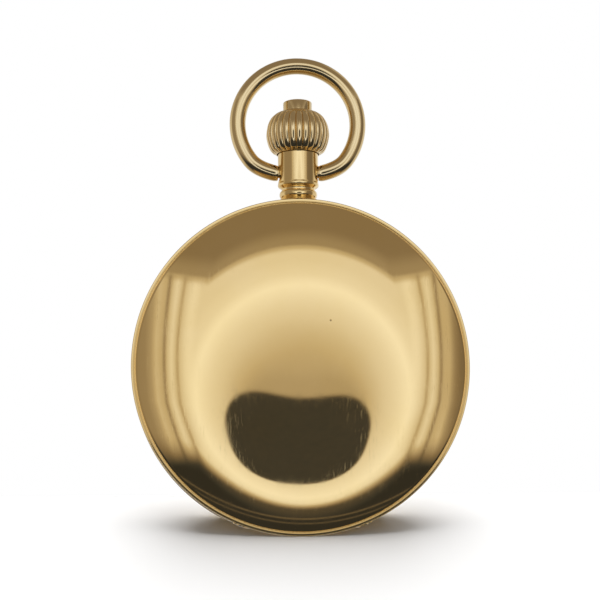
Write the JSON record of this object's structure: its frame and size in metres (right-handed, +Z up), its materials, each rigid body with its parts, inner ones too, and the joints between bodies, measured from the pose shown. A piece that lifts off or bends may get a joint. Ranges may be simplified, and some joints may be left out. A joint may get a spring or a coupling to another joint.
{
  "type": "open face pocket watch",
  "caption": "Polished gold-coloured pocket watch with a hinged back, inner dust cover, bow, fluted crown with a push-piece, lever movement and chronograph work.",
  "frame": {"origin": "centre of the watch's outline, on the level of the lowest point of its rim", "axes": "+Z up along the pendant and bow, -Y out of the polished back, +Y out of the dial side"},
  "size_m": [0.05, 0.0132, 0.0724],
  "materials": {
    "gold": "mirror-polished yellow gold colour",
    "gilt": "frosted gilding on plates and wheels",
    "steel": "polished and grained steel",
    "blued_steel": "heat-blued steel",
    "crystal_glass": "clear polished glass",
    "enamel": "white fired enamel"
  },
  "bodies": {
    "root": {"case_band": "gold", "pendant": "gold", "pendant_sleeve": "steel", "back_hinge_pin": "steel", "bezel": "gold", "crystal": "crystal_glass", "main_plate": "gilt", "train_bridge": "gilt", "fourth_cock": "gilt", "balance_cock": "gilt", "regulator": "steel", "dial": "enamel", "hairspring": "blued_steel"},
    "back_cover": {"back_cover": "gold"},
    "cuvette": {"cuvette": "gold"},
    "bow": {"bow": "gold"},
    "winding": {"winding_arbor": "steel", "winding_pinion": "steel"},
    "crown": {"crown": "gold", "winding_stem": "steel"},
    "button": {"push_button": "gold"},
    "crown_wheel": {"crown_wheel": "steel"},
    "ratchet": {"ratchet_wheel": "steel", "barrel_arbor": "steel"},
    "click": {"click": "steel"},
    "barrel": {"barrel_drum": "gilt", "mainspring": "blued_steel"},
    "centre": {"centre_wheel": "gilt", "centre_pinion": "steel", "cannon_pinion": "steel", "minute_hand": "blued_steel"},
    "motion": {"minute_wheel": "gilt"},
    "hour": {"hour_wheel": "gilt", "hour_hand": "blued_steel"},
    "third": {"third_wheel": "gilt", "third_pinion": "steel"},
    "fourth": {"fourth_wheel": "gilt", "fourth_pinion": "steel", "seconds_hand": "blued_steel", "chrono_drive_wheel": "gilt"},
    "escape": {"escape_wheel": "steel", "escape_pinion": "steel"},
    "pallet": {"pallet_fork": "steel"},
    "balance": {"balance_wheel": "gilt", "balance_staff": "steel"},
    "chronograph": {"chronograph_runner": "gilt", "chronograph_hand": "blued_steel"},
    "recorder": {"recording_wheel": "gilt", "counter_hand": "blued_steel"},
    "clutch": {"clutch_lever": "steel"},
    "coupling": {"coupling_wheel": "gilt"},
    "column": {"column_wheel": "steel"},
    "operating": {"operating_lever": "steel"},
    "hammer": {"hammer": "steel"}
  },
  "joints": [
    {"name": "back_cover_hinge", "type": "hinge", "parent": "root", "child": "back_cover", "pos_m": [0, -0.0022, 0.002], "axis": [1, 0, 0], "range_deg": [0, 95]},
    {"name": "cuvette_hinge", "type": "hinge", "parent": "root", "child": "cuvette", "pos_m": [0, -0.0022, 0.002], "axis": [1, 0, 0], "range_deg": [0, 76]},
    {"name": "bow_swing", "type": "hinge", "parent": "root", "child": "bow", "pos_m": [0, 0, 0.0544], "axis": [1, 0, 0], "range_deg": [-90, 90]},
    {"name": "crown_turn", "type": "hinge", "parent": "root", "child": "winding", "pos_m": [0, 0, 0.065], "axis": [0, 0, 1], "continuous": true},
    {"name": "crown_pull", "type": "slide", "parent": "winding", "child": "crown", "axis": [0, 0, 1], "range_m": [0, 0.001]},
    {"name": "button_press", "type": "slide", "parent": "crown", "child": "button", "axis": [0, 0, -1], "range_m": [0, 0.0009], "stiffness_N_per_m": 500, "springref_m": -0.0008},
    {"name": "operating_lever_swing", "type": "hinge", "parent": "root", "child": "operating", "pos_m": [0.0096, 0, 0.0306], "axis": [0, -1, 0], "range_deg": [0, 4.62]},
    {"name": "crown_wheel_turn", "type": "hinge", "parent": "root", "child": "crown_wheel", "pos_m": [0, 0, 0.0382], "axis": [0, -1, 0], "continuous": true},
    {"name": "ratchet_turn", "type": "hinge", "parent": "root", "child": "ratchet", "pos_m": [-0.00697, 0, 0.02988], "axis": [0, -1, 0], "continuous": true},
    {"name": "click_rock", "type": "hinge", "parent": "root", "child": "click", "pos_m": [-0.0136, 0, 0.0356], "axis": [0, -1, 0], "range_deg": [0, 8], "stiffness_Nm_per_rad": 0.0005},
    {"name": "seconds_turn", "type": "hinge", "parent": "root", "child": "fourth", "pos_m": [0, 0, 0.0155], "axis": [0, -1, 0], "continuous": true},
    {"name": "third_turn", "type": "hinge", "parent": "root", "child": "third", "pos_m": [0.00211, 0, 0.02003], "axis": [0, -1, 0], "continuous": true},
    {"name": "minute_turn", "type": "hinge", "parent": "root", "child": "centre", "pos_m": [0, 0, 0.025], "axis": [0, -1, 0], "continuous": true},
    {"name": "motion_turn", "type": "hinge", "parent": "root", "child": "motion", "pos_m": [0.00212, 0, 0.02712], "axis": [0, -1, 0], "continuous": true},
    {"name": "hour_turn", "type": "hinge", "parent": "root", "child": "hour", "pos_m": [0, 0, 0.025], "axis": [0, -1, 0], "continuous": true},
    {"name": "barrel_turn", "type": "hinge", "parent": "root", "child": "barrel", "pos_m": [-0.00697, 0, 0.02988], "axis": [0, -1, 0], "continuous": true},
    {"name": "escape_turn", "type": "hinge", "parent": "root", "child": "escape", "pos_m": [0.00481, 0, 0.01525], "axis": [0, -1, 0], "continuous": true},
    {"name": "pallet_rock", "type": "hinge", "parent": "root", "child": "pallet", "pos_m": [0.00718, 0, 0.01691], "axis": [0, -1, 0], "range_deg": [-5, 5]},
    {"name": "balance_swing", "type": "hinge", "parent": "root", "child": "balance", "pos_m": [0.00988, 0, 0.0188], "axis": [0, -1, 0], "range_deg": [-220, 220], "stiffness_Nm_per_rad": 0.0000012},
    {"name": "chronograph_turn", "type": "hinge", "parent": "root", "child": "chronograph", "pos_m": [0, 0, 0.025], "axis": [0, -1, 0], "continuous": true},
    {"name": "recorder_turn", "type": "hinge", "parent": "root", "child": "recorder", "pos_m": [0, 0, 0.034], "axis": [0, -1, 0], "continuous": true},
    {"name": "clutch_swing", "type": "hinge", "parent": "root", "child": "clutch", "pos_m": [0, 0, 0.0155], "axis": [0, -1, 0], "range_deg": [0, 3]},
    {"name": "coupling_turn", "type": "hinge", "parent": "clutch", "child": "coupling", "pos_m": [0.00251, 0, 0.02011], "axis": [0, -1, 0], "continuous": true},
    {"name": "column_turn", "type": "hinge", "parent": "root", "child": "column", "pos_m": [0.0076, 0, 0.0349], "axis": [0, -1, 0], "continuous": true},
    {"name": "hammer_lift", "type": "hinge", "parent": "root", "child": "hammer", "pos_m": [0.0126, 0, 0.0266], "axis": [0, -1, 0], "range_deg": [-5, 0]}
  ],
  "couplings": [
    {"joint": "cuvette_hinge", "follows": "back_cover_hinge", "ratio": 0.8},
    {"joint": "operating_lever_swing", "follows": "button_press", "rad_per_m": 89.363},
    {"joint": "crown_wheel_turn", "follows": "crown_turn", "ratio": -0.54545},
    {"joint": "ratchet_turn", "follows": "crown_turn", "ratio": 0.27273},
    {"joint": "third_turn", "follows": "seconds_turn", "ratio": -0.13333},
    {"joint": "minute_turn", "follows": "seconds_turn", "ratio": 0.016667},
    {"joint": "motion_turn", "follows": "seconds_turn", "ratio": -0.0055556},
    {"joint": "hour_turn", "follows": "seconds_turn", "ratio": 0.0013889},
    {"joint": "barrel_turn", "follows": "seconds_turn", "ratio": -0.0020833},
    {"joint": "escape_turn", "follows": "seconds_turn", "ratio": -10},
    {"joint": "coupling_turn", "follows": "seconds_turn", "ratio": -2.25},
    {"joint": "recorder_turn", "follows": "chronograph_turn", "ratio": 0.033333}
  ]
}
